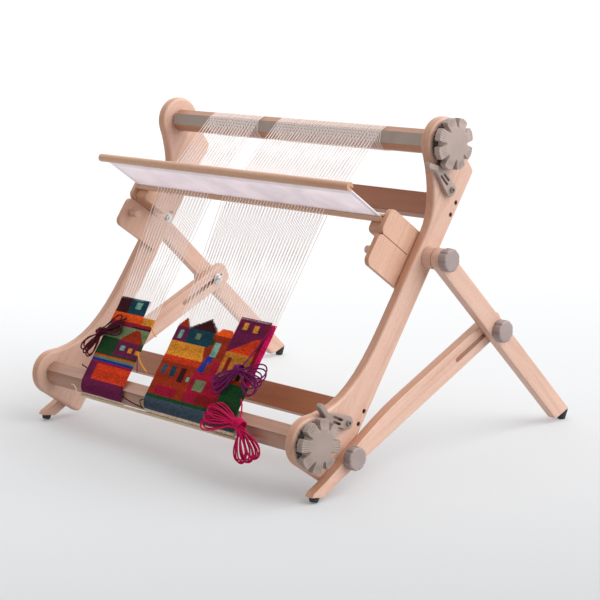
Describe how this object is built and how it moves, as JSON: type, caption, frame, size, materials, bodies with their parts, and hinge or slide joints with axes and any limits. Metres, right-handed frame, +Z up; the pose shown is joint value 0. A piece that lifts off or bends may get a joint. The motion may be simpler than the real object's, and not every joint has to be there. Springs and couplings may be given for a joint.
{
  "type": "tapestry loom",
  "caption": "Tilted tapestry loom: two curved wooden side frames with ratcheted beams, a reed on brackets, stretched warp with part-woven tapestries, and folding legs clamped by knobs.",
  "frame": {"origin": "On the floor, midway between the left and right sides and midway between the front of the handwheel and the ends of the rear legs.", "axes": "+X to the weaver's right along the beams, +Y away from the weaver, +Z up."},
  "size_m": [0.8058, 0.6938, 0.5859],
  "materials": {
    "beech": "pale beech, sanded and clear lacquered, satin",
    "reed_wood": "brown hardwood dowel, satin",
    "taupe_plastic": "moulded taupe nylon, satin",
    "dark_plastic": "near-black moulded plastic, satin",
    "steel": "bright zinc-plated",
    "foot_rubber": "matt black",
    "reed_plastic": "white, satin",
    "cotton_warp": "undyed cotton twine",
    "tapestry_wool": "weft-faced wool in maroon, orange, mustard, teal, green and purple",
    "maroon_wool": "plied wool",
    "purple_wool": "plied wool",
    "magenta_wool": "plied wool"
  },
  "bodies": {
    "loom": {"side_frame_left": "beech", "side_frame_right": "beech", "crossbar_upper": "beech", "crossbar_lower": "beech", "heddle_bracket_left": "beech", "heddle_bracket_right": "beech", "reed_rest_left": "beech", "reed_rest_right": "beech", "bracket_peg_left": "beech", "bracket_peg_right": "beech", "brace_bolt_left": "steel", "brace_bolt_right": "steel", "leg_bolt_left": "steel", "leg_bolt_right": "steel", "warp_beam_pawl_screw": "steel", "cloth_beam_pawl_screw": "steel", "warp_left": "cotton_warp", "warp_right": "cotton_warp", "tapestry_left": "tapestry_wool", "tapestry_right": "tapestry_wool", "yarn_maroon_butterfly": "maroon_wool", "yarn_maroon_run": "maroon_wool", "yarn_purple_butterfly": "purple_wool", "yarn_purple_run": "purple_wool", "yarn_magenta_butterfly": "magenta_wool", "yarn_magenta_run": "magenta_wool"},
    "warp_beam": {"warp_beam": "beech", "warp_beam_clamp_strip": "taupe_plastic", "warp_beam_ratchet": "dark_plastic", "warp_beam_handwheel": "taupe_plastic", "wound_warp_left": "cotton_warp", "wound_warp_right": "cotton_warp"},
    "cloth_beam": {"cloth_beam": "beech", "cloth_beam_clamp_strip": "beech", "cloth_beam_ratchet": "dark_plastic", "cloth_beam_handwheel": "taupe_plastic"},
    "warp_beam_pawl": {"warp_beam_pawl": "taupe_plastic"},
    "cloth_beam_pawl": {"cloth_beam_pawl": "taupe_plastic"},
    "reed": {"reed_bottom_bar": "reed_wood", "reed_top_bar": "reed_wood", "reed_blade": "reed_plastic"},
    "leg_right": {"leg_right": "beech", "leg_spacer_right": "beech", "foot_rear_right": "foot_rubber"},
    "brace_right": {"brace_right": "beech", "foot_front_right": "foot_rubber"},
    "slot_bolt_right": {"slot_bolt_right": "steel"},
    "brace_knob_right": {"brace_knob_right": "taupe_plastic"},
    "leg_knob_right": {"leg_knob_right": "taupe_plastic"},
    "slot_knob_right": {"slot_knob_right": "taupe_plastic"},
    "leg_left": {"leg_left": "beech", "leg_spacer_left": "beech", "foot_rear_left": "foot_rubber"},
    "brace_left": {"brace_left": "beech", "foot_front_left": "foot_rubber"},
    "slot_bolt_left": {"slot_bolt_left": "steel"},
    "brace_knob_left": {"brace_knob_left": "taupe_plastic"},
    "leg_knob_left": {"leg_knob_left": "taupe_plastic"},
    "slot_knob_left": {"slot_knob_left": "taupe_plastic"}
  },
  "joints": [
    {"name": "stand_tilt", "type": "hinge", "parent": "loom", "child": "leg_right", "pos_m": [0.358, -0.01051, 0.35395], "axis": [1, 0, 0], "range_deg": [-28, 2.5]},
    {"name": "leg_left_hinge", "type": "hinge", "parent": "loom", "child": "leg_left", "pos_m": [-0.358, -0.01051, 0.35395], "axis": [1, 0, 0], "range_deg": [-28, 2.5]},
    {"name": "brace_right_hinge", "type": "hinge", "parent": "loom", "child": "brace_right", "pos_m": [0.3593, -0.22655, 0.05849], "axis": [1, 0, 0], "range_deg": [-3.2, 0.6]},
    {"name": "slot_bolt_right_slide", "type": "slide", "parent": "brace_right", "child": "slot_bolt_right", "axis": [0, 0.9259, 0.3778], "range_m": [-0.1, 0.009]},
    {"name": "brace_left_hinge", "type": "hinge", "parent": "loom", "child": "brace_left", "pos_m": [-0.3593, -0.22655, 0.05849], "axis": [1, 0, 0], "range_deg": [-3.2, 0.6]},
    {"name": "slot_bolt_left_slide", "type": "slide", "parent": "brace_left", "child": "slot_bolt_left", "axis": [0, 0.9259, 0.3778], "range_m": [-0.1, 0.009]},
    {"name": "warp_beam_turn", "type": "hinge", "parent": "loom", "child": "warp_beam", "pos_m": [0, 0.03705, 0.54155], "axis": [1, 0, 0], "continuous": true},
    {"name": "cloth_beam_turn", "type": "hinge", "parent": "loom", "child": "cloth_beam", "pos_m": [0, -0.29861, 0.09454], "axis": [1, 0, 0], "continuous": true},
    {"name": "warp_beam_pawl_lift", "type": "hinge", "parent": "loom", "child": "warp_beam_pawl", "pos_m": [0.355, 0.04054, 0.46275], "axis": [1, 0, 0], "range_deg": [0, 12], "stiffness_Nm_per_rad": 0.2, "springref_deg": -8.59},
    {"name": "cloth_beam_pawl_lift", "type": "hinge", "parent": "loom", "child": "cloth_beam_pawl", "pos_m": [0.355, -0.22203, 0.11343], "axis": [1, 0, 0], "range_deg": [-12, 0], "stiffness_Nm_per_rad": 0.2, "springref_deg": 8.59},
    {"name": "reed_tilt", "type": "hinge", "parent": "loom", "child": "reed", "pos_m": [0, -0.08598, 0.42752], "axis": [1, 0, 0], "range_deg": [-15, 15]},
    {"name": "brace_knob_right_turn", "type": "hinge", "parent": "loom", "child": "brace_knob_right", "pos_m": [0.38, -0.22655, 0.05849], "axis": [1, 0, 0], "range_deg": [0, 540]},
    {"name": "leg_knob_right_turn", "type": "hinge", "parent": "loom", "child": "leg_knob_right", "pos_m": [0.395, -0.01051, 0.35395], "axis": [1, 0, 0], "range_deg": [0, 540]},
    {"name": "slot_knob_right_turn", "type": "hinge", "parent": "leg_right", "child": "slot_knob_right", "pos_m": [0.395, 0.13436, 0.20577], "axis": [1, 0, 0], "range_deg": [0, 540]},
    {"name": "brace_knob_left_turn", "type": "hinge", "parent": "loom", "child": "brace_knob_left", "pos_m": [-0.38, -0.22655, 0.05849], "axis": [-1, 0, 0], "range_deg": [0, 540]},
    {"name": "leg_knob_left_turn", "type": "hinge", "parent": "loom", "child": "leg_knob_left", "pos_m": [-0.395, -0.01051, 0.35395], "axis": [-1, 0, 0], "range_deg": [0, 540]},
    {"name": "slot_knob_left_turn", "type": "hinge", "parent": "leg_left", "child": "slot_knob_left", "pos_m": [-0.395, 0.13436, 0.20577], "axis": [-1, 0, 0], "range_deg": [0, 540]}
  ],
  "couplings": [
    {"joint": "leg_left_hinge", "follows": "stand_tilt", "ratio": 1},
    {"joint": "brace_right_hinge", "follows": "stand_tilt", "ratio": 0.099},
    {"joint": "slot_bolt_right_slide", "follows": "stand_tilt", "m_per_rad": 0.2028},
    {"joint": "brace_left_hinge", "follows": "stand_tilt", "ratio": 0.099},
    {"joint": "slot_bolt_left_slide", "follows": "stand_tilt", "m_per_rad": 0.2028}
  ]
}
